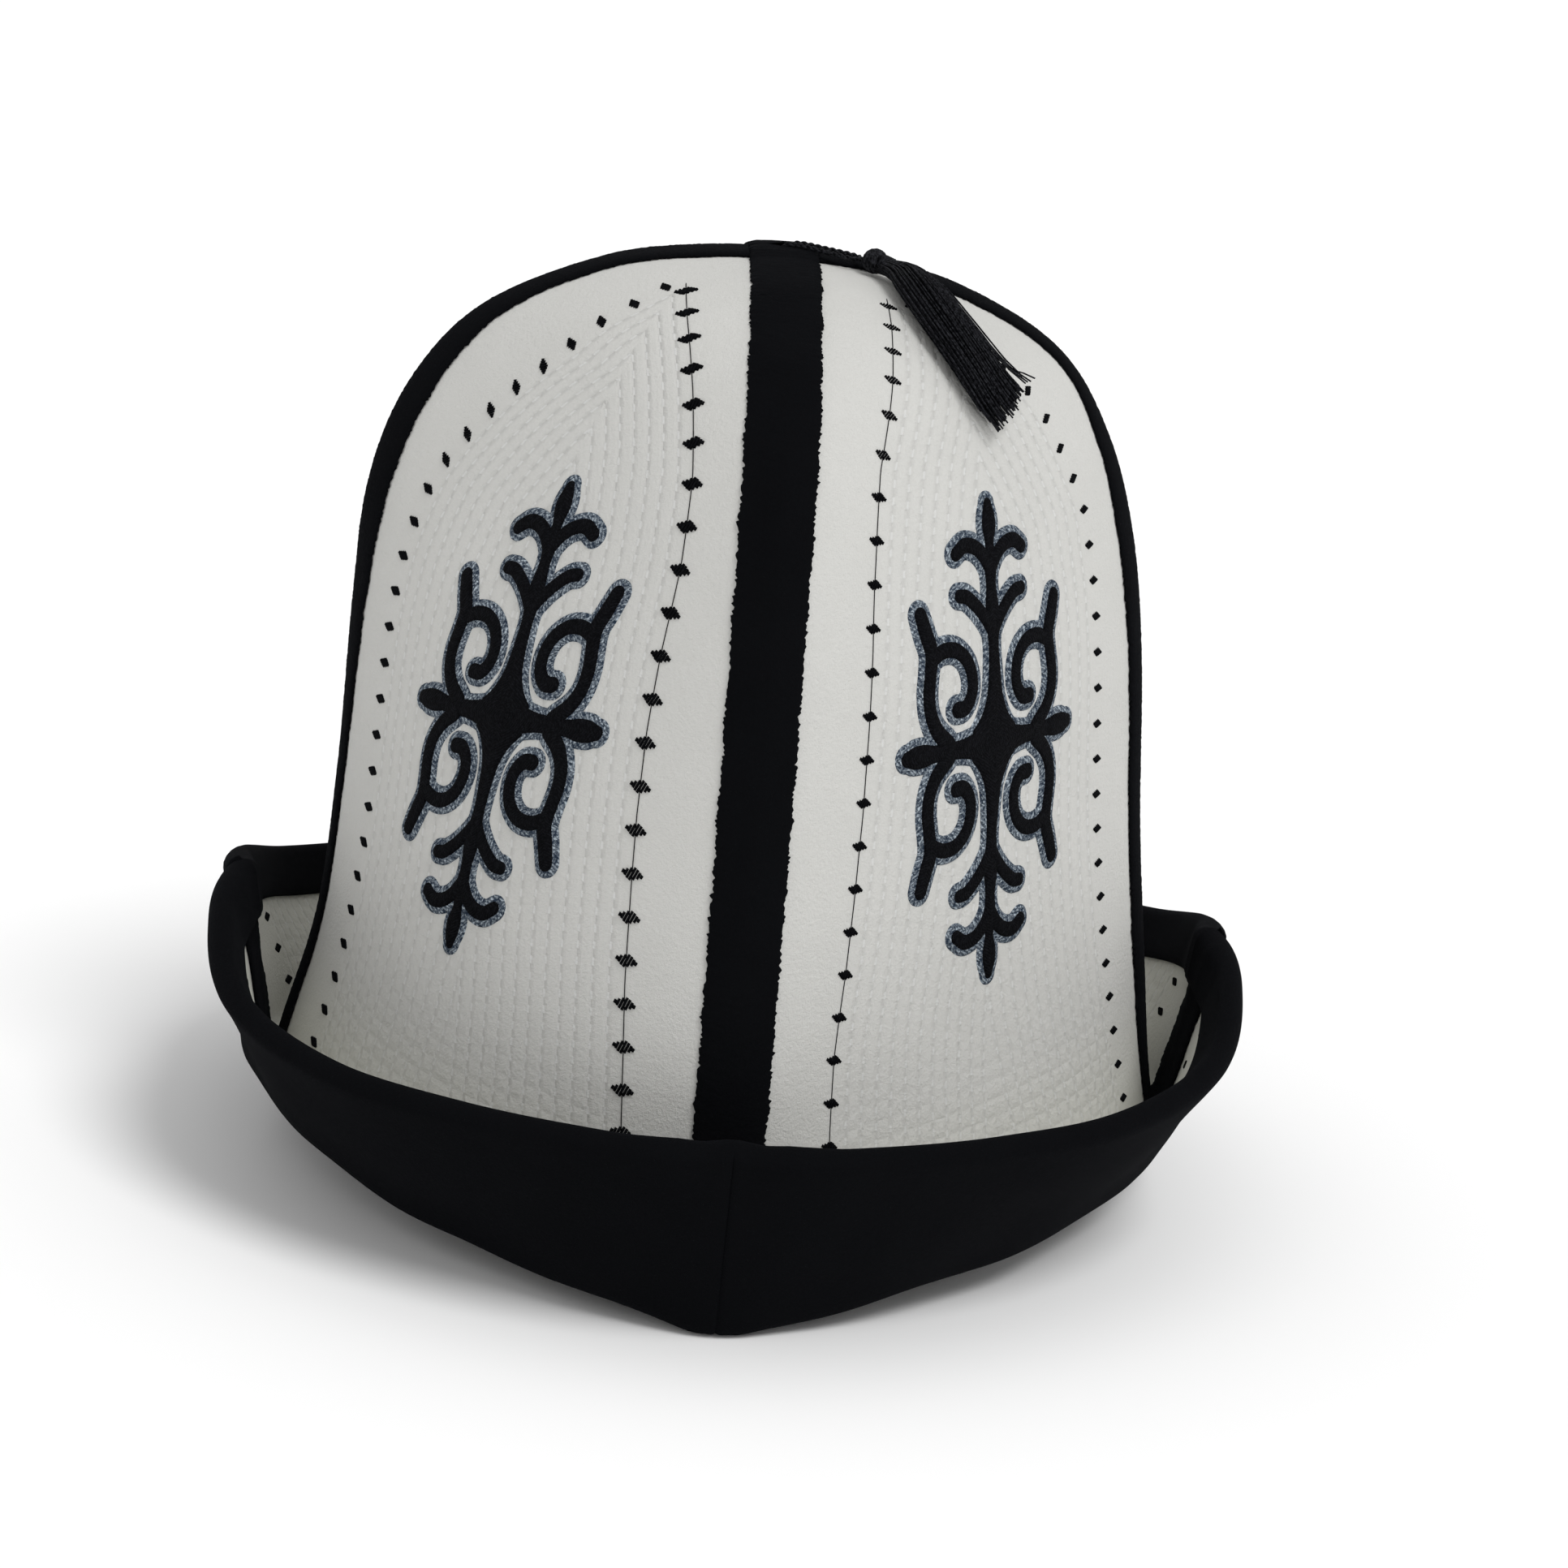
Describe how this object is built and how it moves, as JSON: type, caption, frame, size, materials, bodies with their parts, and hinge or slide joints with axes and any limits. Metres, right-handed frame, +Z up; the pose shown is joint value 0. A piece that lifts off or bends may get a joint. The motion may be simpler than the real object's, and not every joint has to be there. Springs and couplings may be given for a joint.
{
  "type": "kalpak felt hat",
  "caption": "Tall four-panel white felt hat with a turned-up black velvet brim, black seam tapes, black scroll embroidery and a tassel lying at the crown",
  "frame": {"origin": "middle of the hat seen from above, on the plane that the front and back points of the fold rest on", "axes": "+X to the viewer's right from in front of the hat, -Y towards the viewer at the front seam, +Z up through the apex"},
  "size_m": [0.2285, 0.251, 0.2105],
  "materials": {
    "felt": "matt off-white wool felt, quilted and embroidered in black",
    "velvet": "black velvet with a faint sheen",
    "thread": "black twisted thread"
  },
  "bodies": {
    "root": {"panel_front_right": "felt", "panel_back_right": "felt", "panel_back_left": "felt", "panel_front_left": "felt", "tape_front": "velvet", "tape_right": "velvet", "tape_back": "velvet", "tape_left": "velvet", "facing_front_right": "velvet", "facing_back_right": "velvet", "facing_back_left": "velvet", "facing_front_left": "velvet", "tassel_cord": "thread", "tassel": "thread"}
  },
  "joints": []
}
